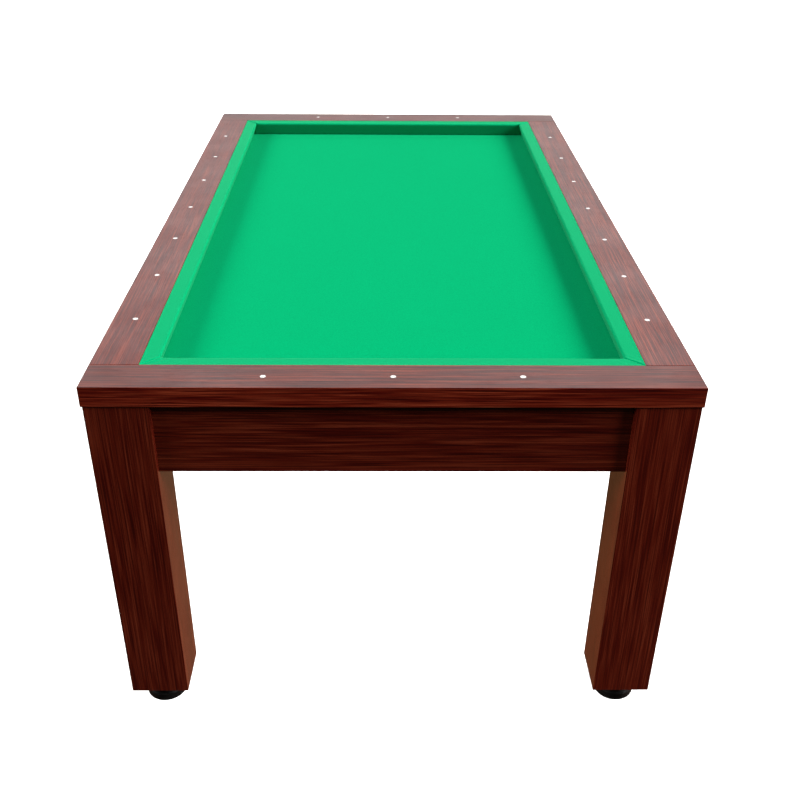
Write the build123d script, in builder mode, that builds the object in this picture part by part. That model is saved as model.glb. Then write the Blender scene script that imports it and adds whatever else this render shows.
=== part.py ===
"""Free-standing carom billiard table with four levelling feet.

Millimetres, +Z up. The origin is on the floor under the middle of the table. +X runs across the
width to the right, +Y along the length to the back. "Front" is the end at -Y.
"""

from build123d import *
import os
from math import atan2, cos, degrees, radians, sin

os.makedirs("parts", exist_ok=True)

# Driving dimensions of the whole table
LENGTH = 2130.0
WIDTH = 1190.0
HEIGHT = 835.0
LEG_BOTTOM = 52.0

# Rail boards and the white sights let into them
RAIL_W = 97.0
RAIL_T = 42.0
RAIL_EDGE_R = 1.2
SIGHT_R = 6.0
SIGHT_T = 3.0
SIGHT_EDGE = 0.4
SIGHT_INSET = 47.5
SIGHT_PITCH = 250.0
SIDE_SIGHTS = 7
END_SIGHTS = 3

# Bed, its cloth and the cushions
CLOTH_T = 1.0
PANEL_T = 25.0
PANEL_GAP = 0.5
CLOTH_OVER_LEG = 15.0
BATTEN_T = 12.0
CUSHION_REACH = 35.0
CUSHION_TOE = 22.0
CUSHION_GAP = 2.0
CUSHION_TUCK = 4.0
CUSHION_TOP_DROP = 2.0
CUSHION_NOSE_DROP = 3.0
NOSE_R = 3.0

# Legs and the blocks inside them
LEG_W = 127.0
LEG_WALL = 20.0
LEG_EDGE_R = 1.2
LEG_INSET = 3.0
TOP_BLOCK_H = 173.0
BOTTOM_BLOCK_H = 60.0

# Aprons, cross beams and cleats
APRON_T = 22.0
APRON_H = 154.0
APRON_INSET = 12.0
APRON_EDGE = 1.0
BEAM_W = 45.0
BEAM_H = 70.0
BEAM_HOUSING = 8.0
BEAM_EDGE = 2.0
BEAM_YS = (-500.0, 0.0, 500.0)
CLEAT_W = 25.0
CLEAT_H = 30.0
CLEAT_END_GAP = 3.0
APRON_SCREW_PART_WAYS = (-0.35, 0.35)
BED_SCREW_PART_WAYS = (-0.2, 0.2)
END_APRON_SCREW_XS = (-400.0, -150.0, 150.0, 400.0)
END_BED_SCREW_XS = (-280.0, 0.0, 280.0)
HOUSING_PLAY = 0.1

# Angle brackets between aprons and legs
BRACKET_ARM = 40.0
BRACKET_H = 75.0
BRACKET_T = 3.0
BRACKET_BEND_R = 3.0
BRACKET_HOLE_IN = 23.0
BRACKET_Z = 650.0
BRACKET_HOLE_ZS = (668.0, 707.0)

# Plates that join the rail boards underneath at the corners
PLATE_X = 70.0
PLATE_Y = 60.0
PLATE_T = 3.0
PLATE_HOLE_PITCH_X = 40.0
PLATE_HOLE_PITCH_Y = 30.0

# Fasteners
BOLT_R = 3.95
BOLT_FLATS = 13.0
BOLT_HEAD_H = 5.5
BOLT_HEAD_EDGE = 0.6
BOLT_TIP_EDGE = 0.8
BOLT_HOLE_R = 4.5
BOLT_TAP_R = 4.0
LEG_BOLT_LEN = 50.0
RAIL_BOLT_LEN = 44.0
RAIL_BOLT_IN = 17.0
RAIL_BOLT_SIDE_YS = (-750.0, -250.0, 250.0, 750.0)
RAIL_BOLT_END_XS = (-360.0, -120.0, 120.0, 360.0)
WASHER_R = 9.0
WASHER_T = 1.6
INSERT_R = 6.0
INSERT_LEN = 20.0
INSERT_HOLE_DEPTH = 24.0
SCREW_R = 2.1
SCREW_HEAD_R = 4.2
SCREW_HEAD_H = 3.0
SCREW_HOLE_R = 2.4
SCREW_PLAY = 0.05
DRIVE_SLOT_W = 0.9
DRIVE_SLOT_DEPTH = 1.3
DRIVE_SLOT_SPAN = 5.0
CLEAT_SCREW_LEN = 40.0
BED_SCREW_LEN = 45.0
PLATE_SCREW_LEN = 25.0
PAN_SCREW_LEN = 18.0
PAN_HEAD_H = 2.5
PAN_EDGE_R = 1.2

# Levelling feet: M16 x 2 stem, 90 mm wide pad
PAD_R = 45.0
PAD_H = 28.0
PAD_SHOULDER_Z = 20.0
PAD_DOME_R = 39.0
PAD_DOME_Z = 26.0
PAD_TOP_R = 15.0
PAD_EDGE_R = 5.0
PAD_SOCKET_Z = 10.0
STEM_R = 8.0
STEM_PLAY = 0.05
STEM_GAP = 0.3
STEM_TOP = 122.0
THREAD_PITCH = 2.0
THREAD_DEPTH = 0.9
THREAD_CREST = THREAD_PITCH / 4
THREAD_ROOT = THREAD_CREST + (THREAD_PITCH - THREAD_CREST) / 2
COLLAR_R = 12.0
COLLAR_TOP = 33.0
STEM_FLATS = 27.0
LOCK_NUT_H = 8.0
LOCK_NUT_FLATS = 24.0
FOOT_FLANGE_R = 19.0
FOOT_FLANGE_T = 3.0
FOOT_SLEEVE_R = 11.0
FOOT_SLEEVE_LEN = 37.0

# Places that follow from the driving dimensions
HALF_L = LENGTH / 2
HALF_W = WIDTH / 2
BOARD_X = HALF_W - RAIL_W
BOARD_Y = HALF_L - RAIL_W
RAIL_BOTTOM = HEIGHT - RAIL_T
PANEL_TOP = RAIL_BOTTOM - CLOTH_T
PANEL_BOTTOM = PANEL_TOP - PANEL_T
LEG_X = HALF_W - LEG_INSET - LEG_W / 2
LEG_Y = HALF_L - LEG_INSET - LEG_W / 2
LEG_IN_X = LEG_X - LEG_W / 2
LEG_IN_Y = LEG_Y - LEG_W / 2
LEG_CAVITY = LEG_W - 2 * LEG_WALL
APRON_IN_X = HALF_W - LEG_INSET - APRON_INSET - APRON_T
APRON_IN_Y = HALF_L - LEG_INSET - APRON_INSET - APRON_T
APRON_Z = RAIL_BOTTOM - APRON_H / 2
CLEAT_IN_X = APRON_IN_X - CLEAT_W
CLEAT_IN_Y = APRON_IN_Y - CLEAT_W
CLEAT_BOTTOM = PANEL_BOTTOM - CLEAT_H
HEX_TOP = LEG_BOTTOM - LOCK_NUT_H - STEM_GAP
PLATE_MID_X = HALF_W - RAIL_W / 2

CORNERS = (
    ("front_left", -1, -1),
    ("front_right", 1, -1),
    ("back_left", -1, 1),
    ("back_right", 1, 1),
)
# Side of the table, direction towards the middle in degrees, board face from the middle, half length
SIDES = (
    ("right", 180, BOARD_X, BOARD_Y),
    ("left", 0, BOARD_X, BOARD_Y),
    ("front", 90, BOARD_Y, BOARD_X),
    ("back", 270, BOARD_Y, BOARD_X),
)
CENTRE_TOP = (Align.CENTER, Align.CENTER, Align.MAX)
CENTRE_BOTTOM = (Align.CENTER, Align.CENTER, Align.MIN)
DOWN = (0, 0, -1)
DRIVE_SLOT = (DRIVE_SLOT_SPAN, DRIVE_SLOT_W, DRIVE_SLOT_DEPTH)


def pointing(point, direction):
    """The location at point whose own +Z runs along direction."""
    return Location(Plane(origin=point, z_dir=direction))


def save(piece, name):
    """Labels a finished piece and writes it under that name."""
    piece.part.label = name
    export_step(piece.part, f"parts/{name}.step")


def hex_bolt(length):
    """M8 bolt: bearing face at z = 0, head above it, shank below."""
    with BuildPart() as bolt:
        with BuildSketch():
            RegularPolygon(BOLT_FLATS / 2, 6, major_radius=False)
        extrude(amount=BOLT_HEAD_H)
        chamfer(bolt.faces().sort_by(Axis.Z)[-1].edges(), BOLT_HEAD_EDGE)
        Cylinder(BOLT_R, length, align=CENTRE_TOP)
        chamfer(bolt.faces().sort_by(Axis.Z)[0].edges(), BOLT_TIP_EDGE)
    return bolt.part


def sunk_screw(length, play=0.0, driven=True):
    """Countersunk wood screw with its head's face at z = 0 and its shank below."""
    with BuildPart() as screw:
        Cylinder(SCREW_R + play, length, align=CENTRE_TOP)
        Cone(SCREW_R + play, SCREW_HEAD_R + play, SCREW_HEAD_H, align=CENTRE_TOP)
        if driven:
            Box(*DRIVE_SLOT, align=CENTRE_TOP, rotation=(0, 0, 90), mode=Mode.SUBTRACT)
            Box(*DRIVE_SLOT, align=CENTRE_TOP, mode=Mode.SUBTRACT)
    return screw.part


def pan_screw(length):
    """Pan-head screw with its bearing face at z = 0 and its shank below."""
    with BuildPart() as screw:
        Cylinder(SCREW_HEAD_R, PAN_HEAD_H, align=CENTRE_BOTTOM)
        fillet(screw.faces().sort_by(Axis.Z)[-1].edges(), PAN_EDGE_R)
        Cylinder(SCREW_R, length, align=CENTRE_TOP)
        with Locations((0, 0, PAN_HEAD_H)):
            Box(*DRIVE_SLOT, align=CENTRE_TOP, rotation=(0, 0, 90), mode=Mode.SUBTRACT)
            Box(*DRIVE_SLOT, align=CENTRE_TOP, mode=Mode.SUBTRACT)
    return screw.part


# Fastener places, each with +Z pointing out of the fastener's head
def sight_places():
    """Middles of the sights' top faces, all round the rail boards."""
    side_x = HALF_W - SIGHT_INSET
    end_y = HALF_L - SIGHT_INSET
    places = []
    for sign in (-1, 1):
        for step in range(SIDE_SIGHTS):
            along = (step - (SIDE_SIGHTS - 1) / 2) * SIGHT_PITCH
            places.append((sign * side_x, along, HEIGHT))
        for step in range(END_SIGHTS):
            along = (step - (END_SIGHTS - 1) / 2) * SIGHT_PITCH
            places.append((along, sign * end_y, HEIGHT))
    return places


def rail_bolt_places(z):
    """Points at height z on the axes of the bolts that hold the rail boards down."""
    places = []
    for sign in (-1, 1):
        places += [(sign * (BOARD_X + RAIL_BOLT_IN), y, z) for y in RAIL_BOLT_SIDE_YS]
        places += [(x, sign * (BOARD_Y + RAIL_BOLT_IN), z) for x in RAIL_BOLT_END_XS]
    return places


def plate_screw_places():
    """Countersunk screws of the four corner plates."""
    places = []
    for _, sx, sy in CORNERS:
        for dx in (-PLATE_HOLE_PITCH_X / 2, PLATE_HOLE_PITCH_X / 2):
            for dy in (-PLATE_HOLE_PITCH_Y / 2, PLATE_HOLE_PITCH_Y / 2):
                point = (sx * PLATE_MID_X + dx, sy * BOARD_Y + dy, RAIL_BOTTOM)
                places.append(pointing(point, DOWN))
    return places


def bracket_places():
    """Bolts into the legs and screws into the aprons, through the arms of the angle brackets."""
    bolts, screws = [], []
    near = BRACKET_HOLE_IN
    for _, sx, sy in CORNERS:
        for z in BRACKET_HOLE_ZS:
            side_x, side_y = APRON_IN_X, LEG_IN_Y
            end_x, end_y = LEG_IN_X, APRON_IN_Y
            bolts.append(pointing((sx * (side_x - near), sy * (side_y - BRACKET_T), z), (0, -sy, 0)))
            bolts.append(pointing((sx * (end_x - BRACKET_T), sy * (end_y - near), z), (-sx, 0, 0)))
            screws.append(pointing((sx * (side_x - BRACKET_T), sy * (side_y - near), z), (-sx, 0, 0)))
            screws.append(pointing((sx * (end_x - near), sy * (end_y - BRACKET_T), z), (0, -sy, 0)))
    return bolts, screws


def side_bays():
    """Middle and length of each stretch of side cleat between a leg, the cross beams and a leg."""
    stops = [-LEG_IN_Y, *BEAM_YS, LEG_IN_Y]
    half_widths = [0.0] + [BEAM_W / 2] * len(BEAM_YS) + [0.0]
    bays = []
    for low, high in zip(range(len(stops) - 1), range(1, len(stops))):
        start = stops[low] + half_widths[low] + CLEAT_END_GAP
        end = stops[high] - half_widths[high] - CLEAT_END_GAP
        bays.append(((start + end) / 2, end - start))
    return bays


def cleat_screw_places():
    """Screws through the cleats into the aprons, and through the cleats up into the bed panel."""
    into_apron, into_bed = [], []
    mid_z = CLEAT_BOTTOM + CLEAT_H / 2
    side_x = CLEAT_IN_X + CLEAT_W / 2
    end_y = CLEAT_IN_Y + CLEAT_W / 2
    for sign in (-1, 1):
        for middle, length in side_bays():
            for part_way in APRON_SCREW_PART_WAYS:
                y = middle + part_way * length
                into_apron.append(pointing((sign * CLEAT_IN_X, y, mid_z), (-sign, 0, 0)))
            for part_way in BED_SCREW_PART_WAYS:
                y = middle + part_way * length
                into_bed.append(pointing((sign * side_x, y, CLEAT_BOTTOM), DOWN))
        for x in END_APRON_SCREW_XS:
            into_apron.append(pointing((x, sign * CLEAT_IN_Y, mid_z), (0, -sign, 0)))
        for x in END_BED_SCREW_XS:
            into_bed.append(pointing((x, sign * end_y, CLEAT_BOTTOM), DOWN))
    return into_apron, into_bed


LEG_BOLTS, BRACKET_SCREWS = bracket_places()
CLEAT_SCREWS, BED_SCREWS = cleat_screw_places()
PLATE_SCREWS = plate_screw_places()
CLEAT_SCREW_HOLE = sunk_screw(CLEAT_SCREW_LEN, SCREW_PLAY, driven=False)
BED_SCREW_HOLE = sunk_screw(BED_SCREW_LEN, SCREW_PLAY, driven=False)
PLATE_SCREW_HOLE = sunk_screw(PLATE_SCREW_LEN, SCREW_PLAY, driven=False)


# Rail boards: the end boards run the full width and the side boards butt between them
END_RAIL_SIZE = (WIDTH, RAIL_W, RAIL_T)
SIDE_RAIL_SIZE = (RAIL_W, 2 * BOARD_Y, RAIL_T)
RAILS = (
    ("rail_front", (0, -(HALF_L - RAIL_W / 2)), END_RAIL_SIZE),
    ("rail_back", (0, HALF_L - RAIL_W / 2), END_RAIL_SIZE),
    ("rail_left", (-(HALF_W - RAIL_W / 2), 0), SIDE_RAIL_SIZE),
    ("rail_right", (HALF_W - RAIL_W / 2, 0), SIDE_RAIL_SIZE),
)
for name, (x, y), size in RAILS:
    with BuildPart() as rail:
        with Locations((x, y, RAIL_BOTTOM)):
            Box(*size, align=CENTRE_BOTTOM)
        fillet(rail.edges(), RAIL_EDGE_R)
        with Locations(*sight_places()):
            Cylinder(SIGHT_R, SIGHT_T, align=CENTRE_TOP, mode=Mode.SUBTRACT)
        with Locations(*rail_bolt_places(RAIL_BOTTOM)):
            Cylinder(INSERT_R, INSERT_HOLE_DEPTH, align=CENTRE_BOTTOM, mode=Mode.SUBTRACT)
        with Locations(*[(sx * PLATE_MID_X, sy * BOARD_Y, RAIL_BOTTOM) for _, sx, sy in CORNERS]):
            Box(PLATE_X, PLATE_Y, PLATE_T, align=CENTRE_BOTTOM, mode=Mode.SUBTRACT)
        with Locations(*PLATE_SCREWS):
            add(PLATE_SCREW_HOLE, mode=Mode.SUBTRACT)
    save(rail, name)

with BuildPart() as sights:
    with Locations(*sight_places()):
        Cylinder(SIGHT_R, SIGHT_T, align=CENTRE_TOP)
    chamfer(sights.faces().group_by(Axis.Z)[-1].edges(), SIGHT_EDGE)
save(sights, "sight_dots")

# Corner plates, let in flush under the butt joints of the rail boards
with BuildPart() as corner_plates:
    with Locations(*[(sx * PLATE_MID_X, sy * BOARD_Y, RAIL_BOTTOM) for _, sx, sy in CORNERS]):
        Box(PLATE_X, PLATE_Y, PLATE_T, align=CENTRE_BOTTOM)
    with Locations(*PLATE_SCREWS):
        add(PLATE_SCREW_HOLE, mode=Mode.SUBTRACT)
save(corner_plates, "rail_corner_plates")

plate_screw = sunk_screw(PLATE_SCREW_LEN)
with BuildPart() as plate_screws:
    with Locations(*PLATE_SCREWS):
        add(plate_screw)
save(plate_screws, "corner_plate_screws")

# Cushions: sections with x inwards from the rail board's face and y as height above the floor
with BuildSketch() as cushion_core:
    with BuildLine():
        Polyline(
            (0, RAIL_BOTTOM + CUSHION_GAP),
            (0, HEIGHT - CUSHION_TOP_DROP),
            (CUSHION_REACH, HEIGHT - CUSHION_NOSE_DROP),
            (CUSHION_TOE, RAIL_BOTTOM + CUSHION_GAP),
            close=True,
        )
    make_face()
    fillet(cushion_core.vertices().sort_by(Axis.X)[-1], NOSE_R)

with BuildSketch() as batten_zone:
    with Locations((0, RAIL_BOTTOM)):
        Rectangle(BATTEN_T, RAIL_T, align=(Align.MIN, Align.MIN))

with BuildSketch() as batten_section:
    add(cushion_core.sketch)
    add(batten_zone.sketch, mode=Mode.INTERSECT)

with BuildSketch() as rubber_section:
    add(cushion_core.sketch)
    add(batten_zone.sketch, mode=Mode.SUBTRACT)

with BuildSketch() as cloth_section:
    add(cushion_core.sketch)
    offset(amount=CLOTH_T)
    add(cushion_core.sketch, mode=Mode.SUBTRACT)
    with Locations((0, RAIL_BOTTOM)):
        Rectangle(RAIL_T, 2 * RAIL_T, align=(Align.MAX, Align.CENTER), mode=Mode.SUBTRACT)

# The battens and rubbers stop short of the mitres, where the cloth is tucked in between them
CUSHION_LAYERS = (
    ("cushion_batten", batten_section, CUSHION_TUCK),
    ("cushion_rubber", rubber_section, CUSHION_TUCK),
    ("cushion_cloth", cloth_section, 0.0),
)
for side, angle, reach, half_run in SIDES:
    inward = Vector(cos(radians(angle)), sin(radians(angle)), 0)
    along = inward.cross(Vector(0, 0, 1))
    face = Plane(origin=inward * -reach, x_dir=inward, z_dir=along)
    for layer, section, short in CUSHION_LAYERS:
        with BuildPart() as strip:
            with BuildSketch(face):
                add(section.sketch)
            extrude(amount=half_run, both=True)
            for end in (-1, 1):
                corner = face.origin + along * (end * (half_run - short))
                split(bisect_by=Plane(origin=corner, z_dir=inward + along * end), keep=Keep.BOTTOM)
        save(strip, f"{layer}_{side}")

# Bed panel, notched round the legs; its cloth runs on over the inner corner of each leg's top
with BuildSketch() as bed_outline:
    Rectangle(2 * (APRON_IN_X - PANEL_GAP), 2 * (APRON_IN_Y - PANEL_GAP))
    with GridLocations(2 * LEG_X, 2 * LEG_Y, 2, 2):
        Rectangle(LEG_W + 2 * PANEL_GAP, LEG_W + 2 * PANEL_GAP, mode=Mode.SUBTRACT)

with BuildPart() as bed_panel:
    with BuildSketch(Plane.XY.offset(PANEL_BOTTOM)):
        add(bed_outline.sketch)
    extrude(amount=PANEL_T)
    with Locations(*rail_bolt_places(PANEL_TOP)):
        Cylinder(BOLT_HOLE_R, PANEL_T, align=CENTRE_TOP, mode=Mode.SUBTRACT)
    with Locations(*BED_SCREWS):
        add(BED_SCREW_HOLE, mode=Mode.SUBTRACT)
save(bed_panel, "bed_panel")

with BuildPart() as bed_cloth:
    with BuildSketch(Plane.XY.offset(PANEL_TOP)):
        add(bed_outline.sketch)
        with GridLocations(2 * LEG_IN_X, 2 * LEG_IN_Y, 2, 2):
            Rectangle(2 * CLOTH_OVER_LEG, 2 * CLOTH_OVER_LEG)
    extrude(amount=CLOTH_T)
    with Locations(*rail_bolt_places(RAIL_BOTTOM)):
        Cylinder(BOLT_HOLE_R, CLOTH_T, align=CENTRE_TOP, mode=Mode.SUBTRACT)
save(bed_cloth, "bed_cloth")

# Bolts that hold the rail boards down through the bed panel, with washers and threaded inserts
rail_bolt = hex_bolt(RAIL_BOLT_LEN)
with BuildPart() as rail_bolts:
    with Locations(*[pointing(p, DOWN) for p in rail_bolt_places(PANEL_BOTTOM - WASHER_T)]):
        add(rail_bolt)
save(rail_bolts, "rail_bolts")

with BuildPart() as rail_washers:
    with Locations(*rail_bolt_places(PANEL_BOTTOM)):
        Cylinder(WASHER_R, WASHER_T, align=CENTRE_TOP)
        Cylinder(BOLT_HOLE_R, WASHER_T, align=CENTRE_TOP, mode=Mode.SUBTRACT)
save(rail_washers, "rail_washers")

with BuildPart() as rail_inserts:
    with Locations(*rail_bolt_places(RAIL_BOTTOM)):
        Cylinder(INSERT_R, INSERT_LEN, align=CENTRE_BOTTOM)
        Cylinder(BOLT_TAP_R, INSERT_LEN, align=CENTRE_BOTTOM, mode=Mode.SUBTRACT)
save(rail_inserts, "rail_inserts")

# Aprons between the legs; the side aprons are housed out for the ends of the cross beams
BEAM_SIZE = (2 * (APRON_IN_X + BEAM_HOUSING), BEAM_W, BEAM_H)
SIDE_APRON_SIZE = (APRON_T, 2 * LEG_IN_Y, APRON_H)
END_APRON_SIZE = (2 * LEG_IN_X, APRON_T, APRON_H)
APRONS = (
    ("apron_front", (0, -(APRON_IN_Y + APRON_T / 2)), END_APRON_SIZE, Axis.X),
    ("apron_back", (0, APRON_IN_Y + APRON_T / 2), END_APRON_SIZE, Axis.X),
    ("apron_left", (-(APRON_IN_X + APRON_T / 2), 0), SIDE_APRON_SIZE, Axis.Y),
    ("apron_right", (APRON_IN_X + APRON_T / 2, 0), SIDE_APRON_SIZE, Axis.Y),
)
for name, (x, y), size, run in APRONS:
    with BuildPart() as apron:
        with Locations((x, y, APRON_Z)):
            Box(*size)
        chamfer(apron.edges().filter_by(run), APRON_EDGE)
        with Locations(*[(0, beam_y, PANEL_BOTTOM) for beam_y in BEAM_YS]):
            Box(
                BEAM_SIZE[0] + 2 * HOUSING_PLAY,
                BEAM_W + 2 * HOUSING_PLAY,
                BEAM_H + HOUSING_PLAY,
                align=CENTRE_TOP,
                mode=Mode.SUBTRACT,
            )
        with Locations(*CLEAT_SCREWS):
            add(CLEAT_SCREW_HOLE, mode=Mode.SUBTRACT)
        with Locations(*BRACKET_SCREWS):
            Cylinder(SCREW_R + SCREW_PLAY, PAN_SCREW_LEN, align=CENTRE_TOP, mode=Mode.SUBTRACT)
    save(apron, name)

for name, beam_y in zip(("front", "middle", "back"), BEAM_YS):
    with BuildPart() as beam:
        with Locations((0, beam_y, PANEL_BOTTOM)):
            Box(*BEAM_SIZE, align=CENTRE_TOP)
        chamfer(beam.edges().filter_by(Axis.X).group_by(Axis.Z)[0], BEAM_EDGE)
    save(beam, f"cross_beam_{name}")

# Cleats screwed to the aprons, which carry the edge of the bed panel
with BuildPart() as side_cleats:
    for middle, length in side_bays():
        with Locations(
            (-(CLEAT_IN_X + CLEAT_W / 2), middle, PANEL_BOTTOM),
            (CLEAT_IN_X + CLEAT_W / 2, middle, PANEL_BOTTOM),
        ):
            Box(CLEAT_W, length, CLEAT_H, align=CENTRE_TOP)
    with Locations(*CLEAT_SCREWS):
        add(CLEAT_SCREW_HOLE, mode=Mode.SUBTRACT)
    with Locations(*BED_SCREWS):
        add(BED_SCREW_HOLE, mode=Mode.SUBTRACT)
save(side_cleats, "side_cleats")

with BuildPart() as end_cleats:
    with Locations(
        (0, -(CLEAT_IN_Y + CLEAT_W / 2), PANEL_BOTTOM),
        (0, CLEAT_IN_Y + CLEAT_W / 2, PANEL_BOTTOM),
    ):
        Box(2 * (LEG_IN_X - CLEAT_END_GAP), CLEAT_W, CLEAT_H, align=CENTRE_TOP)
    with Locations(*CLEAT_SCREWS):
        add(CLEAT_SCREW_HOLE, mode=Mode.SUBTRACT)
    with Locations(*BED_SCREWS):
        add(BED_SCREW_HOLE, mode=Mode.SUBTRACT)
save(end_cleats, "end_cleats")

cleat_screw = sunk_screw(CLEAT_SCREW_LEN)
bed_screw = sunk_screw(BED_SCREW_LEN)
with BuildPart() as cleat_screws:
    with Locations(*CLEAT_SCREWS):
        add(cleat_screw)
    with Locations(*BED_SCREWS):
        add(bed_screw)
save(cleat_screws, "cleat_screws")

# Angle brackets in the inner corners where an apron meets a leg, each bent from one strip
with BuildSketch() as bracket_section:
    with BuildLine():
        FilletPolyline(
            (-BRACKET_ARM, -BRACKET_T / 2),
            (-BRACKET_T / 2, -BRACKET_T / 2),
            (-BRACKET_T / 2, -BRACKET_ARM),
            radius=BRACKET_BEND_R,
        )
    trace(line_width=BRACKET_T)

with BuildPart() as brackets:
    with BuildSketch(Plane.XY.offset(BRACKET_Z)):
        for _, sx, sy in CORNERS:
            turn = degrees(atan2(sy, sx)) - 45
            for x, y in ((APRON_IN_X, LEG_IN_Y), (LEG_IN_X, APRON_IN_Y)):
                with Locations(Location((sx * x, sy * y), turn)):
                    add(bracket_section.sketch)
    extrude(amount=BRACKET_H)
    with Locations(*LEG_BOLTS):
        Cylinder(BOLT_HOLE_R, 2 * BRACKET_T, mode=Mode.SUBTRACT)
    with Locations(*BRACKET_SCREWS):
        Cylinder(SCREW_HOLE_R, 2 * BRACKET_T, mode=Mode.SUBTRACT)
save(brackets, "apron_brackets")

leg_bolt = hex_bolt(LEG_BOLT_LEN)
with BuildPart() as leg_bolts:
    with Locations(*LEG_BOLTS):
        add(leg_bolt)
save(leg_bolts, "leg_bolts")

bracket_screw = pan_screw(PAN_SCREW_LEN)
with BuildPart() as bracket_screws:
    with Locations(*BRACKET_SCREWS):
        add(bracket_screw)
save(bracket_screws, "bracket_screws")

# Hollow square legs with a solid block glued into each end
for corner, sx, sy in CORNERS:
    x, y = sx * LEG_X, sy * LEG_Y

    with BuildPart() as leg:
        with BuildSketch(Plane.XY.offset(LEG_BOTTOM)):
            with Locations((x, y)):
                RectangleRounded(LEG_W, LEG_W, LEG_EDGE_R)
                Rectangle(LEG_CAVITY, LEG_CAVITY, mode=Mode.SUBTRACT)
        extrude(amount=RAIL_BOTTOM - LEG_BOTTOM)
        with Locations((sx * LEG_IN_X, sy * LEG_IN_Y, RAIL_BOTTOM)):
            Box(
                2 * CLOTH_OVER_LEG,
                2 * CLOTH_OVER_LEG,
                CLOTH_T,
                align=CENTRE_TOP,
                mode=Mode.SUBTRACT,
            )
        with Locations(*LEG_BOLTS):
            Cylinder(BOLT_TAP_R, LEG_BOLT_LEN, align=CENTRE_TOP, mode=Mode.SUBTRACT)
    save(leg, f"leg_{corner}")

    with BuildPart() as top_block:
        with Locations((x, y, RAIL_BOTTOM)):
            Box(LEG_CAVITY, LEG_CAVITY, TOP_BLOCK_H, align=CENTRE_TOP)
        with Locations(*LEG_BOLTS):
            Cylinder(BOLT_TAP_R, LEG_BOLT_LEN, align=CENTRE_TOP, mode=Mode.SUBTRACT)
    save(top_block, f"leg_top_block_{corner}")

    with BuildPart() as bottom_block:
        with Locations((x, y, LEG_BOTTOM)):
            Box(LEG_CAVITY, LEG_CAVITY, BOTTOM_BLOCK_H, align=CENTRE_BOTTOM)
            Cylinder(FOOT_SLEEVE_R, BOTTOM_BLOCK_H, align=CENTRE_BOTTOM, mode=Mode.SUBTRACT)
            Cylinder(FOOT_FLANGE_R, FOOT_FLANGE_T, align=CENTRE_BOTTOM, mode=Mode.SUBTRACT)
    save(bottom_block, f"leg_bottom_block_{corner}")

# Threaded inserts let into the bottom blocks, and the lock nuts under them
with BuildPart() as foot_inserts:
    with Locations(*[(sx * LEG_X, sy * LEG_Y, LEG_BOTTOM) for _, sx, sy in CORNERS]):
        Cylinder(FOOT_FLANGE_R, FOOT_FLANGE_T, align=CENTRE_BOTTOM)
        Cylinder(FOOT_SLEEVE_R, FOOT_FLANGE_T + FOOT_SLEEVE_LEN, align=CENTRE_BOTTOM)
        Cylinder(
            STEM_R + STEM_PLAY,
            FOOT_FLANGE_T + FOOT_SLEEVE_LEN,
            align=CENTRE_BOTTOM,
            mode=Mode.SUBTRACT,
        )
save(foot_inserts, "foot_inserts")

with BuildPart() as lock_nuts:
    with BuildSketch(Plane.XY.offset(LEG_BOTTOM - LOCK_NUT_H)):
        with GridLocations(2 * LEG_X, 2 * LEG_Y, 2, 2):
            RegularPolygon(LOCK_NUT_FLATS / 2, 6, major_radius=False)
            Circle(STEM_R + STEM_PLAY, mode=Mode.SUBTRACT)
    extrude(amount=LOCK_NUT_H)
save(lock_nuts, "foot_lock_nuts")


def thread_outline(start, end):
    """Zigzag of radius and height for the V grooves of the stem between two heights."""
    points = []
    z = start
    while z + THREAD_PITCH <= end:
        points += [(STEM_R, z), (STEM_R, z + THREAD_CREST)]
        points += [(STEM_R - THREAD_DEPTH, z + THREAD_ROOT)]
        z += THREAD_PITCH
    return points


# Levelling feet: a pad, and a threaded stem with a hexagon that turns in the pad's socket
for corner, sx, sy in CORNERS:
    upright = Plane(origin=(sx * LEG_X, sy * LEG_Y, 0), x_dir=(1, 0, 0), z_dir=(0, -1, 0))
    centre_line = Axis(upright.origin, (0, 0, 1))

    with BuildPart() as pad:
        with BuildSketch(upright):
            with BuildLine():
                Polyline(
                    (0, 0),
                    (PAD_R, 0),
                    (PAD_R, PAD_SHOULDER_Z),
                    (PAD_DOME_R, PAD_DOME_Z),
                    (PAD_TOP_R, PAD_H),
                    (STEM_R + STEM_PLAY, PAD_H),
                    (STEM_R + STEM_PLAY, PAD_SOCKET_Z),
                    (0, PAD_SOCKET_Z),
                    close=True,
                )
            make_face()
        revolve(axis=centre_line)
        fillet(pad.edges().filter_by(GeomType.CIRCLE).group_by(Axis.Z)[0], PAD_EDGE_R)
    save(pad, f"foot_pad_{corner}")

    with BuildPart() as stem:
        with BuildSketch(upright):
            with BuildLine():
                Polyline(
                    (0, PAD_SOCKET_Z + STEM_GAP),
                    (STEM_R, PAD_SOCKET_Z + STEM_GAP),
                    (STEM_R, PAD_H + STEM_GAP),
                    (COLLAR_R, PAD_H + STEM_GAP),
                    (COLLAR_R, COLLAR_TOP),
                    *thread_outline(COLLAR_TOP, STEM_TOP),
                    (STEM_R, STEM_TOP),
                    (0, STEM_TOP),
                    close=True,
                )
            make_face()
        revolve(axis=centre_line)
        with BuildSketch(Plane.XY.offset(COLLAR_TOP)):
            with Locations((sx * LEG_X, sy * LEG_Y)):
                RegularPolygon(STEM_FLATS / 2, 6, major_radius=False)
        extrude(amount=HEX_TOP - COLLAR_TOP)
    save(stem, f"foot_stem_{corner}")
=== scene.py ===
"""Looks of the carom billiard table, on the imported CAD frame. Metres, +Z up, the row's frame."""
import math

import bmesh
import bpy
from mathutils import Matrix, Vector, noise


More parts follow.
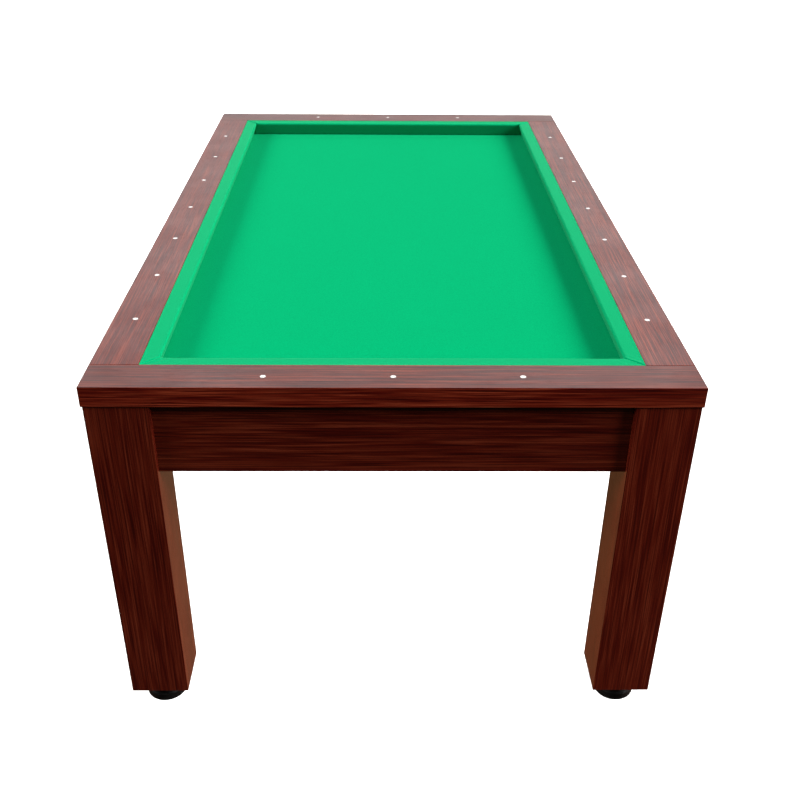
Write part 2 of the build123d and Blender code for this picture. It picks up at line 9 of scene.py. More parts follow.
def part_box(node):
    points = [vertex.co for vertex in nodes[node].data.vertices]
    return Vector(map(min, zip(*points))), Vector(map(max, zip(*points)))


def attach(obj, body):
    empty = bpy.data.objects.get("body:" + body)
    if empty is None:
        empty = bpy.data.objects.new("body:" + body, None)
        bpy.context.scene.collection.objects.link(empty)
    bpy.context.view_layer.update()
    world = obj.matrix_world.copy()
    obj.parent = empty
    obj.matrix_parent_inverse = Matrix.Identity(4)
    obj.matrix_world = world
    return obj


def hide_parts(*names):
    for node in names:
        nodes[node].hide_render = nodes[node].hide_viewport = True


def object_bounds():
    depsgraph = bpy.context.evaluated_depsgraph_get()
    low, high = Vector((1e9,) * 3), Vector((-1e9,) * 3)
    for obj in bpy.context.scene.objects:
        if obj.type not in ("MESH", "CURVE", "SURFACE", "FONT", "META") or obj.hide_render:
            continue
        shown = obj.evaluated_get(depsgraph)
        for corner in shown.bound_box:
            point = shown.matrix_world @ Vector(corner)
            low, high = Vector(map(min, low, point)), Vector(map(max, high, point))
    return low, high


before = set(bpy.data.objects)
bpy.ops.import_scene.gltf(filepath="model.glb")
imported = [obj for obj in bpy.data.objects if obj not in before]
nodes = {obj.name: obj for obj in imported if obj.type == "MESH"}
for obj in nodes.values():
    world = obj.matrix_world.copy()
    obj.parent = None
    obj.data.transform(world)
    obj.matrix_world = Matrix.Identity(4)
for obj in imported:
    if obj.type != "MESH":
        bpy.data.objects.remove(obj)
cad_low, cad_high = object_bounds()
HEIGHT = cad_high.z


# ---------------------------------------------------------------- node helpers
class Nodes:
    """A material's node tree with short calls for the nodes used here."""

    def __init__(self, name):
        self.material = bpy.data.materials.new(name)
        self.material.use_nodes = True
        self.tree = self.material.node_tree
        self.tree.nodes.clear()
        self.shader = self.tree.nodes.new("ShaderNodeBsdfPrincipled")
        output = self.tree.nodes.new("ShaderNodeOutputMaterial")
        self.link(self.shader.outputs[0], output.inputs[0])

    def link(self, source, target):
        self.tree.links.new(source, target)

    def feed(self, socket, value):
        """Links value to socket if it is an output, else sets it as the socket's own value."""
        if isinstance(value, bpy.types.NodeSocket):
            self.link(value, socket)
        else:
            socket.default_value = value

    def place(self):
        """Object coordinates, which are the row frame's metres."""
        return self.tree.nodes.new("ShaderNodeTexCoord").outputs["Object"]

    def normal(self):
        return self.tree.nodes.new("ShaderNodeNewGeometry").outputs["Normal"]

    def scaled(self, vector, scale, shift=(0, 0, 0)):
        node = self.tree.nodes.new("ShaderNodeMapping")
        self.feed(node.inputs["Vector"], vector)
        node.inputs["Scale"].default_value = scale
        node.inputs["Location"].default_value = shift
        return node.outputs[0]

    def noise(self, vector, scale=1.0, detail=3.0, roughness=0.55, distortion=0.0):
        node = self.tree.nodes.new("ShaderNodeTexNoise")
        self.feed(node.inputs["Vector"], vector)
        node.inputs["Scale"].default_value = scale
        node.inputs["Detail"].default_value = detail
        node.inputs["Roughness"].default_value = roughness
        node.inputs["Distortion"].default_value = distortion
        return node.outputs["Fac"]

    def swayed(self, vector, scale, reach):
        """The vector moved by up to half of reach along each axis, by a slow noise."""
        slow = self.tree.nodes.new("ShaderNodeTexNoise")
        self.feed(slow.inputs["Vector"], self.scaled(vector, scale))
        slow.inputs["Scale"].default_value = 1.0
        slow.inputs["Detail"].default_value = 1.0
        steps = (("SUBTRACT", (0.5, 0.5, 0.5)), ("MULTIPLY", reach), ("ADD", vector))
        moved = slow.outputs["Color"]
        for operation, other in steps:
            node = self.tree.nodes.new("ShaderNodeVectorMath")
            node.operation = operation
            self.feed(node.inputs[0], moved)
            self.feed(node.inputs[1], other)
            moved = node.outputs[0]
        return moved

    def wave(self, vector, direction, scale):
        node = self.tree.nodes.new("ShaderNodeTexWave")
        node.bands_direction = direction
        self.feed(node.inputs["Vector"], vector)
        node.inputs["Scale"].default_value = scale
        return node.outputs["Fac"]

    def math(self, operation, a, b=0.0):
        node = self.tree.nodes.new("ShaderNodeMath")
        node.operation = operation
        self.feed(node.inputs[0], a)
        self.feed(node.inputs[1], b)
        return node.outputs[0]

    def between(self, value, low, high, to_low=0.0, to_high=1.0):
        """Smooth step of value from low..high to to_low..to_high."""
        node = self.tree.nodes.new("ShaderNodeMapRange")
        node.interpolation_type = "SMOOTHSTEP"
        self.feed(node.inputs["Value"], value)
        names = ("From Min", "From Max", "To Min", "To Max")
        for name, number in zip(names, (low, high, to_low, to_high)):
            node.inputs[name].default_value = number
        return node.outputs[0]

    def ramp(self, value, *stops):
        node = self.tree.nodes.new("ShaderNodeValToRGB")
        elements = node.color_ramp.elements
        while len(elements) < len(stops):
            elements.new(0.5)
        for element, (position, colour) in zip(elements, stops):
            element.position = position
            element.color = (*colour, 1.0)
        self.feed(node.inputs[0], value)
        return node.outputs[0]

    def mix(self, factor, a, b):
        node = self.tree.nodes.new("ShaderNodeMix")
        node.data_type = "RGBA"
        self.feed(node.inputs["Factor"], factor)
        for socket, value in ((node.inputs[6], a), (node.inputs[7], b)):
            self.feed(socket, (*value, 1.0) if isinstance(value, tuple) else value)
        return node.outputs[2]

    def mix_vector(self, factor, a, b):
        node = self.tree.nodes.new("ShaderNodeMix")
        node.data_type = "VECTOR"
        self.feed(node.inputs["Factor"], factor)
        self.feed(node.inputs[4], a)
        self.feed(node.inputs[5], b)
        return node.outputs[1]

    def bump(self, height, distance, strength):
        node = self.tree.nodes.new("ShaderNodeBump")
        node.inputs["Strength"].default_value = strength
        node.inputs["Distance"].default_value = distance
        self.feed(node.inputs["Height"], height)
        return node.outputs[0]

    def set(self, **inputs):
        """Sets the shader's sockets; Base_Color stands for "Base Color"."""
        for name, value in inputs.items():
            self.feed(self.shader.inputs[name.replace("_", " ")], value)
        return self.material


AXES = {"x": 0, "y": 1, "z": 2}


def stretched(grain, along, across):
    """Mapping scale with `along` in the grain's direction and `across` in the other two."""
    scale = [across] * 3
    scale[AXES[grain]] = along
    return tuple(scale)


# ---------------------------------------------------------------- materials
# Distance between the ribs of the cloth's twill, and the wave texture's scale for it
TWILL_PITCH = 0.0015
TWILL = 2 * math.pi / (20 * TWILL_PITCH)
# Stops of the melamine's colour, from the dark of its pores to its orange-brown streaks, and the
# colour between them that a board's contrast is measured from
WENGE = (
    (0.40, (0.012, 0.0004, 0.0003)),
    (0.47, (0.034, 0.0014, 0.0006)),
    (0.54, (0.066, 0.0072, 0.0026)),
    (0.62, (0.108, 0.0180, 0.0072)),
)
WENGE_MIDDLE = (0.046, 0.0035, 0.0014)
# Weights of the bands, streaks and fine lines that make up the melamine's figure
FIGURE = (0.12, 0.50, 0.38)
# A face is across the grain where its normal is nearer to the grain than this cosine
ACROSS = 0.7
PINE = (
    (0.34, (0.36, 0.20, 0.085)),
    (0.50, (0.50, 0.31, 0.150)),
    (0.66, (0.58, 0.40, 0.220)),
)


def melamine(name, grain, ends, shift, tone, contrast):
    """Wenge-red melamine with streaks along `grain`, or along `ends` on the faces across it.

    `shift` moves the pattern, `tone` scales its colours and `contrast` their spread. On some boards
    the tone also paints light and shade onto the board.
    """
    m = Nodes(name)
    place = m.place()

    def along(direction, along_scale, across_scale):
        """Place swayed a little across the streaks, then scaled along and across them."""
        reach = stretched(direction, 0.0, 0.011)
        swayed = m.swayed(place, stretched(direction, 1.3, 7.0), reach)
        return m.scaled(swayed, stretched(direction, along_scale, across_scale), shift)

    def layer(along_scale, across_scale):
        """The place that a noise reads, with its scales along and across the streaks."""
        main = along(grain, along_scale, across_scale)
        if ends is None:
            return main
        parts = m.tree.nodes.new("ShaderNodeSeparateXYZ")
        m.link(m.normal(), parts.inputs[0])
        facing = m.math("ABSOLUTE", parts.outputs[AXES[grain]])
        turned = along(ends, along_scale, across_scale)
        return m.mix_vector(m.math("GREATER_THAN", facing, ACROSS), main, turned)

    bands = m.noise(layer(0.9, 70.0), detail=1.0)
    streaks = m.noise(layer(4.5, 440.0), detail=1.0, roughness=0.6)
    lines = m.noise(layer(9.0, 850.0), detail=1.0)
    pores = m.noise(layer(30.0, 1500.0), detail=2.0)
    pairs = zip((bands, streaks, lines), FIGURE)
    weighed = [m.math("MULTIPLY", part, weight) for part, weight in pairs]
    figure = m.math("ADD", m.math("ADD", weighed[0], weighed[1]), weighed[2])
    stops = []
    for position, stop in WENGE:
        spread = [middle + contrast * (c - middle) for c, middle in zip(stop, WENGE_MIDDLE)]
        stops.append((position, tuple(tone * c for c in spread)))
    colour = m.ramp(figure, *stops)
    pore_line = m.between(pores, 0.56, 0.68)
    colour = m.mix(m.math("MULTIPLY", pore_line, 0.5), colour, stops[0][1])
    relief = m.math("SUBTRACT", m.math("MULTIPLY", lines, 0.4), m.math("MULTIPLY", pore_line, 0.6))
    smudge = m.noise(m.scaled(place, (7.0, 7.0, 7.0)), detail=3.0)
    gloss = m.between(smudge, 0.3, 0.7, 0.30, 0.36)
    rough = m.math("ADD", gloss, m.math("MULTIPLY", pore_line, 0.10))
    return m.set(Base_Color=colour, Roughness=rough, Normal=m.bump(relief, 0.0001, 0.6), IOR=1.3)


def billiard_cloth(name, colour, sheen):
    """Napped green cloth: a fine twill under a brushed nap, with the faintest mottling."""
    m = Nodes(name)
    place = m.place()
    mottle = m.noise(m.scaled(place, (4.0, 4.0, 4.0)), detail=2.0)
    fuzz = m.noise(m.scaled(place, (620.0, 420.0, 620.0)), detail=3.0, roughness=0.7)
    twill = m.math("MULTIPLY", m.wave(place, "DIAGONAL", TWILL), m.wave(place, "Y", TWILL))
    deep = tuple(c * 0.80 for c in colour)
    pale = tuple(c * 1.14 for c in colour)
    base = m.ramp(fuzz, (0.30, deep), (0.5, colour), (0.70, pale))
    base = m.mix(m.math("MULTIPLY", twill, 0.16), base, deep)
    base = m.mix(m.between(mottle, 0.35, 0.68, 0.0, 0.05), base, pale)
    relief = m.math("ADD", m.math("MULTIPLY", twill, 0.35), m.math("MULTIPLY", fuzz, 0.65))
    return m.set(
        Base_Color=base,
        Roughness=m.between(fuzz, 0.2, 0.8, 0.85, 0.97),
        Normal=m.bump(relief, 0.0003, 0.5),
        Sheen_Weight=sheen,
        Sheen_Roughness=0.35,
        Sheen_Tint=(0.55, 1.0, 0.72, 1.0),
        Specular_IOR_Level=0.0,
    )


def pearl():
    m = Nodes("sight_pearl")
    place = m.place()
    cloud = m.noise(m.scaled(place, (320.0, 320.0, 320.0)), detail=3.0, distortion=1.2)
    base = m.ramp(cloud, (0.3, (0.24, 0.23, 0.215)), (0.7, (0.36, 0.35, 0.335)))
    return m.set(Base_Color=base, Roughness=m.between(cloud, 0.3, 0.7, 0.16, 0.26), Coat_Weight=0.4)


def moulded_black():
    m = Nodes("foot_black")
    place = m.place()
    grit = m.noise(m.scaled(place, (1500.0, 1500.0, 1500.0)), detail=2.0)
    wear = m.noise(m.scaled(place, (60.0, 60.0, 60.0)), detail=4.0)
    base = m.ramp(wear, (0.4, (0.0010, 0.0010, 0.0011)), (0.75, (0.0035, 0.0035, 0.0037)))
    return m.set(
        Base_Color=base,
        Roughness=m.between(wear, 0.3, 0.7, 0.5, 0.65),
        Normal=m.bump(grit, 0.0001, 0.6),
        IOR=1.2,
    )


def plated(name, bright, dull, brushed="z"):
    m = Nodes(name)
    place = m.place()
    cloud = m.noise(m.scaled(place, (45.0, 45.0, 45.0)), detail=4.0)
    lines = m.noise(m.scaled(place, stretched(brushed, 60.0, 2600.0)), detail=2.0)
    base = m.ramp(cloud, (0.3, dull), (0.7, bright))
    rough = m.math("ADD", m.between(cloud, 0.3, 0.7, 0.24, 0.4), m.math("MULTIPLY", lines, 0.08))
    return m.set(Base_Color=base, Metallic=1.0, Roughness=rough, Normal=m.bump(lines, 0.00004, 0.5))


def pine(name, grain, shift):
    m = Nodes(name)
    place = m.place()
    rings = m.noise(m.scaled(place, stretched(grain, 1.4, 42.0), shift), detail=3.0, distortion=0.7)
    fibre = m.noise(m.scaled(place, stretched(grain, 14.0, 700.0), shift), detail=2.0)
    knots = m.noise(m.scaled(place, stretched(grain, 5.0, 16.0), shift), detail=1.0)
    base = m.ramp(rings, *PINE)
    base = m.mix(m.between(fibre, 0.45, 0.8, 0.0, 0.35), base, (0.34, 0.19, 0.09))
    base = m.mix(m.between(knots, 0.72, 0.78), base, (0.14, 0.06, 0.025))
    rough = m.between(fibre, 0.3, 0.7, 0.6, 0.75)
    return m.set(Base_Color=base, Roughness=rough, Normal=m.bump(fibre, 0.0002, 0.6))


def fibreboard():
    m = Nodes("raw_fibreboard")
    place = m.place()
    fleck = m.noise(m.scaled(place, (800.0, 800.0, 800.0)), detail=3.0)
    cloud = m.noise(m.scaled(place, (3.0, 3.0, 3.0)), detail=4.0)
    base = m.ramp(fleck, (0.3, (0.20, 0.125, 0.065)), (0.7, (0.36, 0.25, 0.145)))
    base = m.mix(m.between(cloud, 0.35, 0.7, 0.0, 0.3), base, (0.24, 0.16, 0.09))
    rough = m.between(fleck, 0.3, 0.7, 0.7, 0.85)
    return m.set(Base_Color=base, Roughness=rough, Normal=m.bump(fleck, 0.00015, 0.5))


def soft_rubber():
    m = Nodes("cushion_rubber")
    grain = m.noise(m.scaled(m.place(), (500.0, 500.0, 500.0)), detail=2.0)
    base = m.ramp(grain, (0.3, (0.10, 0.085, 0.07)), (0.7, (0.16, 0.14, 0.12)))
    return m.set(Base_Color=base, Roughness=0.7, Normal=m.bump(grain, 0.0001, 0.4))


def dress(node, material):
    """Gives a carried-over CAD node its material."""
    nodes[node].data.materials.clear()
    nodes[node].data.materials.append(material)


# Boards: grain, the grain of the faces across it if it differs, pattern shift, tone, contrast. The
# tone also holds painted light and shade: the side rails are made lighter and the front left leg
# darker than the rest, standing for how the light fell on them.
BOARDS = (
    ("rail_front", "x", "y", (1.3, 0.2, 5.1), 1.00, 1.00),
    ("rail_back", "x", "y", (7.7, 3.4, 2.9), 0.85, 1.00),
    # painted light: the side rails are toned lighter than the front rail
    ("rail_left", "y", None, (4.4, 9.1, 0.6), 1.18, 0.65),
    ("rail_right", "y", None, (2.1, 6.3, 8.8), 1.18, 0.90),
    ("apron_front", "x", None, (3.9, 8.2, 1.4), 0.62, 0.85),
    ("apron_back", "x", None, (9.6, 1.7, 6.2), 0.62, 0.85),
    ("apron_left", "y", None, (5.2, 4.8, 3.3), 0.62, 0.85),
    ("apron_right", "y", None, (0.8, 2.6, 7.5), 0.62, 0.85),
    # painted shade: the front left leg is toned darker than the front right leg
    ("leg_front_left", "z", None, (6.6, 5.5, 9.4), 0.63, 0.75),
    ("leg_front_right", "z", None, (8.3, 0.9, 4.7), 0.76, 0.68),
    ("leg_back_left", "z", None, (2.8, 7.3, 0.3), 0.74, 0.68),
    ("leg_back_right", "z", None, (5.9, 3.1, 1.9), 0.74, 0.68),
)
for board, *look in BOARDS:
    dress(board, melamine(f"melamine_{board}", *look))

zinc = plated("zinc_plate", (0.68, 0.69, 0.71), (0.48, 0.49, 0.50))
yellow_zinc = plated("yellow_zinc_plate", (0.72, 0.60, 0.33), (0.50, 0.39, 0.20))
black = moulded_black()
rubber = soft_rubber()
dress("sight_dots", pearl())
dress("bed_panel", fibreboard())
for node in ("rail_bolts", "rail_washers", "leg_bolts", "apron_brackets", "rail_corner_plates"):
    dress(node, zinc)
for node in ("foot_inserts", "foot_lock_nuts", "rail_inserts", "bracket_screws"):
    dress(node, zinc)
for node in ("cleat_screws", "corner_plate_screws"):
    dress(node, yellow_zinc)
for index, end in enumerate(("front", "middle", "back")):
    dress(f"cross_beam_{end}", pine(f"pine_beam_{end}", "x", (1.7 * index, 0.4, 2.2)))
dress("side_cleats", pine("pine_side_cleats", "y", (3.1, 0.8, 1.2)))
dress("end_cleats", pine("pine_end_cleats", "x", (0.4, 2.7, 1.9)))
upright_pine = pine("pine_blocks", "z", (2.5, 1.1, 0.7))
CORNERS = ("front_left", "front_right", "back_left", "back_right")
for corner in CORNERS:
    dress(f"leg_top_block_{corner}", upright_pine)
    dress(f"leg_bottom_block_{corner}", upright_pine)
    dress(f"foot_pad_{corner}", black)
    dress(f"foot_stem_{corner}", zinc)
for side, grain in (("front", "x"), ("back", "x"), ("left", "y"), ("right", "y")):
    dress(f"cushion_batten_{side}", pine(f"pine_batten_{side}", grain, (0.9, 1.6, 2.4)))
    dress(f"cushion_rubber_{side}", rubber)


# ---------------------------------------------------------------- cloth pieces
bed_green = billiard_cloth("bed_cloth", (0.0004, 0.178, 0.066), 0.01)
cushion_green = billiard_cloth("cushion_cloth", (0.0006, 0.175, 0.066), 0.065)


def mesh_object(name, mesh_data, material):
    """Links a finished bmesh as a smooth-shaded object that rides on the table."""
    mesh = bpy.data.meshes.new(name)
    mesh_data.to_mesh(mesh)
    mesh_data.free()
    mesh.polygons.foreach_set("use_smooth", [True] * len(mesh.polygons))
    mesh.materials.append(material)
    piece = bpy.data.objects.new(name, mesh)
    bpy.context.scene.collection.objects.link(piece)
    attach(piece, "table")
    return piece


def even_steps(low, high, step):
    """Numbers from low to high, evenly spaced by about step."""
    count = round((high - low) / step)
    return [low + (high - low) * i / count for i in range(count + 1)]


# Bed cloth: mesh pitch, reach of the tongue over each leg, height of its waves, waves per metre
# across and along, and the share of that height that keeps every wave below the top
BED_PITCH = 0.011
LEG_TONGUE = 0.015
BED_RIPPLE = 0.00012
BED_WAVES = (5.0, 2.0)
BED_BELOW = 1.2


def make_bed_cloth():
    """The cloth stretched over the bed, cut round the legs but for a tongue over each corner."""
    low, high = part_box("bed_cloth")
    leg_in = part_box("leg_back_right")[0]
    xs = even_steps(-leg_in.x - LEG_TONGUE, leg_in.x + LEG_TONGUE, BED_PITCH)
    ys = even_steps(-leg_in.y - LEG_TONGUE, leg_in.y + LEG_TONGUE, BED_PITCH)
    xs = [low.x] + xs + [high.x]
    ys = [low.y] + ys + [high.y]
    ends_x = (0, len(xs) - 2)
    ends_y = (0, len(ys) - 2)
    cells = {}
    for i in range(len(xs) - 1):
        for j in range(len(ys) - 1):
            if not (i in ends_x and j in ends_y):
                cells[i, j] = ((i, j), (i + 1, j), (i + 1, j + 1), (i, j + 1))
    bm = bmesh.new()
    over, under = {}, {}
    for corners in cells.values():
        for i, j in corners:
            if (i, j) not in over:
                x, y = xs[i], ys[j]
                wave = noise.noise(Vector((x * BED_WAVES[0], y * BED_WAVES[1], 0.0)))
                ripple = BED_RIPPLE * (wave - BED_BELOW)
                over[i, j] = bm.verts.new((x, y, high.z + ripple))
                under[i, j] = bm.verts.new((x, y, low.z))
    for (i, j), corners in cells.items():
        bm.faces.new([over[k] for k in corners])
        bm.faces.new([under[k] for k in reversed(corners)])
        beside = ((i, j - 1), (i + 1, j), (i, j + 1), (i - 1, j))
        for a, b, neighbour in zip(corners, corners[1:] + corners[:1], beside):
            if neighbour not in cells:
                bm.faces.new((under[a], under[b], over[b], over[a]))
    piece = mesh_object("bed_cloth_sheet", bm, bed_green)
    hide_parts("bed_cloth")


make_bed_cloth()

# Cushion cloth: its thickness, and the thickness of the sheet that shows
CLOTH_T = 0.001
SHEET_T = 0.7 * CLOTH_T
# Cushion section under its cloth: drop below the rail, fall and reach of the top, toe, nose radius
CUSHION_DROP = 0.002
CUSHION_FALL = 0.001
CUSHION_REACH = 0.035
CUSHION_TOE = 0.022
NOSE_R = 0.003
# Gap to the rail board, and the welt where the cloth is tucked in beside it: radius, rise and dip
# at the board, and its foot as distance from the board and depth below the cloth's top
BOARD_GAP = 0.0002
WELT_R = 0.0016
WELT_RISE = 0.0004
WELT_DIP = 0.0034
WELT_FOOT = (0.0055, 0.0001)
# Steps on either side of the toe that keep its edge sharp, on the face and underneath
TOE_STEPS = (0.0005, 0.0006)
# Stations along a cushion: even pitch, then closer ones over the last stretch to each mitre
STATION_PITCH = 0.012
FINE_END = 0.12
FINE_STEPS = 44
# At a mitre: width and depth of the fold and how far it draws the nose back, reach and height of
# the puckers, and the shoulder beside the fold
FOLD_W = 0.0021
FOLD_DROP = 0.0026
FOLD_BACK = 0.0024
PUCKER_REACH = 0.024
PUCKER_RISE = 0.0011
PUCKER_OUT = 0.0006
SHOULDER_AT = 0.0065
SHOULDER_W = 0.0045
SHOULDER_RISE = 0.0008
RIPPLE_RISE = 0.0002
# Depth below the rail that the puckers reach, and the distances over which they fade in down the
# face and out from the board
PUCKER_DEPTH = 0.016
FADE_DOWN = 0.008
FADE_OUT = 0.008


def arc(centre, radius, first, last, count):
    """Points on an arc between two angles, both ends included."""
    x, y = centre
    angles = [first + (last - first) * k / (count - 1) for k in range(count)]
    return [Vector((x + radius * math.cos(a), y + radius * math.sin(a))) for a in angles]


def straight(start, end, count):
    """Points along a line, without its first one."""
    return [Vector(start).lerp(Vector(end), k / count) for k in range(1, count + 1)]


def cushion_outline():
    """The cloth's line over the cushion, from board to underside: (distance from board, height)."""
    top = HEIGHT - CUSHION_DROP
    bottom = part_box("rail_right")[0].z + CUSHION_DROP
    nose = Vector((CUSHION_REACH, top - CUSHION_FALL))
    toe = Vector((CUSHION_TOE, bottom))
    to_board = (Vector((0.0, top)) - nose).normalized()
    to_toe = (toe - nose).normalized()
    half = to_board.angle(to_toe) / 2
    centre = nose + (to_board + to_toe).normalized() * (NOSE_R / math.sin(half))
    over_top = math.atan2(-to_board.x, to_board.y)
    over_face = math.atan2(to_toe.x, -to_toe.y)
    nose_arc = arc(centre, NOSE_R + CLOTH_T, over_top, over_face, 9)
    under = bottom - SHEET_T
    toe_out = toe + Vector((-to_toe.y, to_toe.x)) * CLOTH_T
    welt = (WELT_R + BOARD_GAP, top + CLOTH_T + WELT_RISE - WELT_R)
    points = [Vector((BOARD_GAP, top + CLOTH_T - WELT_DIP))]
    points += arc(welt, WELT_R, math.pi, math.pi / 2.6, 7)
    points += straight(points[-1], (WELT_FOOT[0], top + CLOTH_T - WELT_FOOT[1]), 3)
    points += straight(points[-1], nose_arc[0], 9)
    points += nose_arc[1:]
    points += straight(points[-1], toe_out - to_toe * TOE_STEPS[0], 6)
    points += [toe_out, Vector((toe.x, under)), Vector((toe.x - TOE_STEPS[1], under))]
    points += straight(points[-1], (BOARD_GAP, under), 4)
    return points


def stations(half_run):
    """Places along a cushion, close together towards both mitres."""
    steps = even_steps(0.0, half_run - FINE_END, STATION_PITCH)
    steps += [half_run - FINE_END * (1 - k / FINE_STEPS) ** 1.6 for k in range(1, FINE_STEPS + 1)]
    return [-s for s in reversed(steps[1:])] + steps


def bell(value, width):
    return math.exp(-((value / width) ** 2))


def cushion_point(u, z, run, half_run, seed):
    """A point of the cloth, tucked in at the mitre: (distance from board, along, height)."""
    share = run / half_run
    to_mitre = (half_run - u) * (1 - abs(share))
    on_top = min(1.0, max(0.0, (z - HEIGHT + PUCKER_DEPTH) / FADE_DOWN))
    off_board = min(1.0, u / FADE_OUT)
    fold = bell(to_mitre, FOLD_W)
    near = math.exp(-to_mitre / PUCKER_REACH) * (1 - fold)
    end = seed * 3.1 + math.copysign(7.0, share)
    pucker = near * noise.noise(Vector((to_mitre * 95.0, u * 30.0, end)))
    ripple = (1 - fold) * noise.noise(Vector((share * half_run * 9.0, u * 40.0, seed)))
    shoulder = bell(to_mitre - SHOULDER_AT, SHOULDER_W)
    lift = PUCKER_RISE * pucker + SHOULDER_RISE * shoulder + RIPPLE_RISE * ripple - FOLD_DROP * fold
    u -= (FOLD_BACK * fold + PUCKER_OUT * pucker) * (u / CUSHION_REACH)
    return u, share * (half_run - u), z + lift * off_board * on_top


def make_cushion_cloth(side, angle, board, half_run):
    """One cushion's cloth, mitred at both ends and tucked in along each mitre."""
    inward = Vector((math.cos(angle), math.sin(angle), 0.0))
    along = inward.cross(Vector((0.0, 0.0, 1.0)))
    outline = cushion_outline()
    bm = bmesh.new()
    rings = []
    for run in stations(half_run):
        ring = []
        for point in outline:
            out, place, z = cushion_point(*point, run, half_run, angle)
            flat_place = inward * (out - board) + along * place
            ring.append(bm.verts.new((flat_place.x, flat_place.y, z)))
        rings.append(ring)
    for a, b in zip(rings, rings[1:]):
        for i in range(len(outline) - 1):
            bm.faces.new((a[i], a[i + 1], b[i + 1], b[i]))
    bmesh.ops.recalc_face_normals(bm, faces=bm.faces[:])
    piece = mesh_object(f"cushion_cloth_sheet_{side}", bm, cushion_green)
    thick = piece.modifiers.new("cloth thickness", "SOLIDIFY")
    thick.thickness = SHEET_T
    thick.offset = 0.0
    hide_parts(f"cushion_cloth_{side}")


board_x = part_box("rail_right")[0].x
board_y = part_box("rail_back")[0].y
for side, angle, board, half_run in (
    ("right", math.pi, board_x, board_y),
    ("left", 0.0, board_x, board_y),
    ("front", math.pi / 2, board_y, board_x),
    ("back", -math.pi / 2, board_y, board_x),
):
    make_cushion_cloth(side, angle, board, half_run)


# ---------------------------------------------------------------- stage, light and camera
# Floor: half its width, how far it lies below the feet, and the glow that keeps it white
FLOOR_HALF = 60.0
FLOOR_DROP = 0.0005
FLOOR_GLOW = 0.35


def make_floor():
    """A plain floor that neither lights the table nor shows in its gloss."""
    m = Nodes("studio_floor")
    soft = m.noise(m.scaled(m.place(), (0.6, 0.6, 0.6)), detail=2.0)
    base = m.ramp(soft, (0.3, (0.93, 0.93, 0.93)), (0.7, (0.96, 0.96, 0.96)))
    m.set(
        Base_Color=base,
        Roughness=0.9,
        Specular_IOR_Level=0.1,
        Emission_Color=base,
        Emission_Strength=FLOOR_GLOW,
    )
    bm = bmesh.new()
    bmesh.ops.create_grid(bm, x_segments=8, y_segments=8, size=FLOOR_HALF)
    mesh = bpy.data.meshes.new("studio_floor")
    bm.to_mesh(mesh)
    bm.free()
    mesh.materials.append(m.material)
    floor = bpy.data.objects.new("studio_floor", mesh)
    floor.location.z = -FLOOR_DROP
    floor.visible_diffuse = False
    floor.visible_glossy = False
    bpy.context.scene.collection.objects.link(floor)


# Lights of the dome: direction from the table, degrees to the faded edge and to the full middle,
# amount and tint. The first two stand behind the lamps, the next four make the sheen on the tops,
# and the last four are the warm bounce from below.
WHITE = (1.0, 1.0, 1.0)
WARM = (1.0, 0.50, 0.28)
SAND = (1.0, 0.42, 0.20)
RUST = (1.0, 0.32, 0.08)
LIGHTS = (
    ((0.84, -0.24, 0.49), 19, 6, 19.0, WHITE),
    ((-0.85, -0.18, 0.50), 19, 6, 10.8, WHITE),
    ((0.00, 0.84, 0.54), 26, 10, 1.7, WHITE),
    ((0.40, 0.78, 0.48), 24, 8, 1.6, WHITE),
    ((-0.40, 0.78, 0.48), 24, 8, 1.25, WHITE),
    ((0.00, 0.97, 0.24), 24, 8, 0.35, WHITE),
    ((0.30, 0.86, -0.42), 30, 12, 0.39, SAND),
    ((-0.30, 0.86, -0.42), 30, 12, 0.30, RUST),
    ((1.00, 0.30, -0.30), 60, 30, 0.40, WARM),
    ((-1.00, 0.30, -0.30), 60, 30, 0.20, WARM),
)
FILL = (0.050, 0.035, 0.022)
BACKDROP = (1.0, 1.0, 1.0, 1.0)
# Broad lamps that give most of the light: direction from the table and strength. They leave no
# reflections, so a board seen at a low angle does not glare.
LAMPS = (
    ("lamp_right", (0.84, -0.24, 0.49), 8.3),
    ("lamp_left", (-0.85, -0.18, 0.50), 4.75),
)
LAMP_SPREAD = math.radians(28)


def make_lamps():
    for name, aim, strength in LAMPS:
        data = bpy.data.lights.new(name, "SUN")
        data.energy = strength
        data.angle = LAMP_SPREAD
        lamp = bpy.data.objects.new(name, data)
        lamp.rotation_euler = Vector(aim).to_track_quat("Z", "Y").to_euler()
        lamp.visible_glossy = False
        bpy.context.scene.collection.objects.link(lamp)


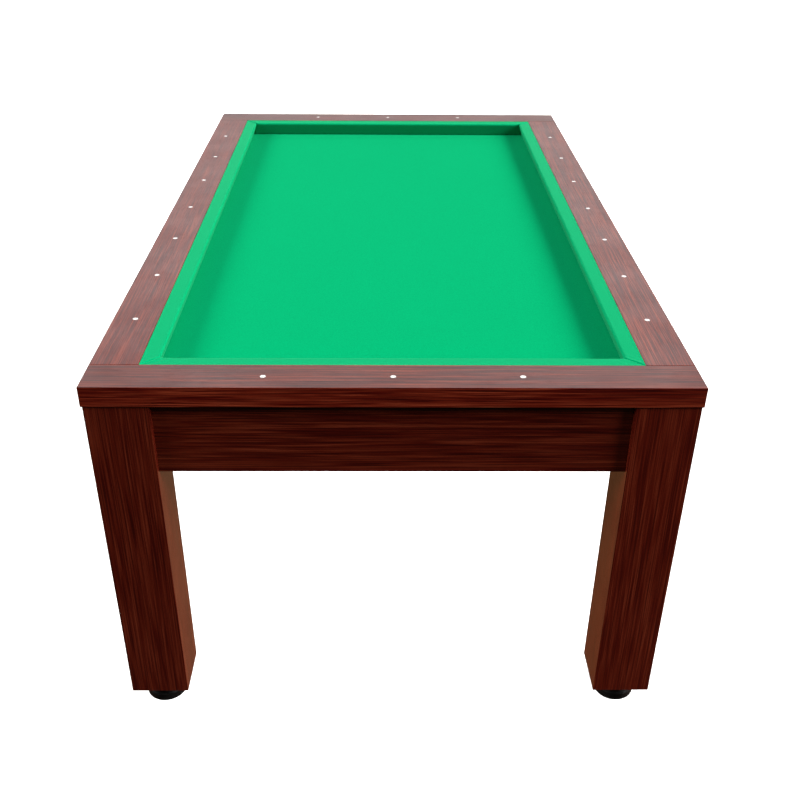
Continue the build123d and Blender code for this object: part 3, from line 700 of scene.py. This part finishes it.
def make_sky():
    """The studio as a dome of soft lights over an even fill, with a plain white backdrop."""
    world = bpy.data.worlds.new("studio")
    bpy.context.scene.world = world
    world.use_nodes = True
    tree = world.node_tree
    direction = tree.nodes.new("ShaderNodeTexCoord").outputs["Generated"]

    def vector_math(operation, *values):
        node = tree.nodes.new("ShaderNodeVectorMath")
        node.operation = operation
        for socket, value in zip(node.inputs, values):
            if isinstance(value, bpy.types.NodeSocket):
                tree.links.new(value, socket)
            else:
                socket.default_value = value
        return node

    def lobe(aim, wide, narrow):
        """One within `narrow` degrees of the aim, falling to nought at `wide` degrees."""
        node = tree.nodes.new("ShaderNodeMapRange")
        node.interpolation_type = "SMOOTHSTEP"
        dot = vector_math("DOT_PRODUCT", direction, Vector(aim).normalized())
        tree.links.new(dot.outputs["Value"], node.inputs["Value"])
        node.inputs["From Min"].default_value = math.cos(math.radians(wide))
        node.inputs["From Max"].default_value = math.cos(math.radians(narrow))
        return node.outputs[0]

    total = FILL
    for aim, wide, narrow, amount, tint in LIGHTS:
        light = vector_math("SCALE", Vector(tint) * amount)
        tree.links.new(lobe(aim, wide, narrow), light.inputs["Scale"])
        total = vector_math("ADD", light.outputs[0], total).outputs[0]
    shown = tree.nodes.new("ShaderNodeMix")
    shown.data_type = "RGBA"
    seen = tree.nodes.new("ShaderNodeLightPath").outputs["Is Camera Ray"]
    tree.links.new(seen, shown.inputs["Factor"])
    tree.links.new(total, shown.inputs[6])
    shown.inputs[7].default_value = BACKDROP
    tree.links.new(shown.outputs[2], tree.nodes["Background"].inputs["Color"])


make_floor()
make_sky()
make_lamps()
bpy.context.scene.view_settings.view_transform = "Standard"

# The camera stands at the front end, looks down the table and is framed by a shift
CAMERA_PLACE = (-0.0229, -2.7726, HEIGHT + 0.8968)
CAMERA_YAW = -0.0124
CAMERA_PITCH = 0.5741
CAMERA_ROLL = 0.0074
CAMERA_LENS = 45.97
SENSOR = 36.0
SHIFT = (0.0102, 0.1010)


def make_camera():
    """A camera turned by its yaw and pitch, then rolled about its own view."""
    camera = bpy.data.objects.new("camera", bpy.data.cameras.new("camera"))
    bpy.context.scene.collection.objects.link(camera)
    camera.data.sensor_width = SENSOR
    camera.data.lens = CAMERA_LENS
    camera.data.shift_x, camera.data.shift_y = SHIFT
    camera.data.clip_end = 200.0
    right = Vector((math.cos(CAMERA_YAW), math.sin(CAMERA_YAW), 0.0))
    ahead = Vector((-math.sin(CAMERA_YAW), math.cos(CAMERA_YAW), 0.0))
    up = Vector((0.0, 0.0, 1.0))
    look = ahead * math.cos(CAMERA_PITCH) - up * math.sin(CAMERA_PITCH)
    over = ahead * math.sin(CAMERA_PITCH) + up * math.cos(CAMERA_PITCH)
    across = right * math.cos(CAMERA_ROLL) + over * math.sin(CAMERA_ROLL)
    over = over * math.cos(CAMERA_ROLL) - right * math.sin(CAMERA_ROLL)
    turn = Matrix((across, over, -look)).transposed()
    camera.matrix_world = Matrix.Translation(CAMERA_PLACE) @ turn.to_4x4()
    bpy.context.scene.camera = camera


make_camera()
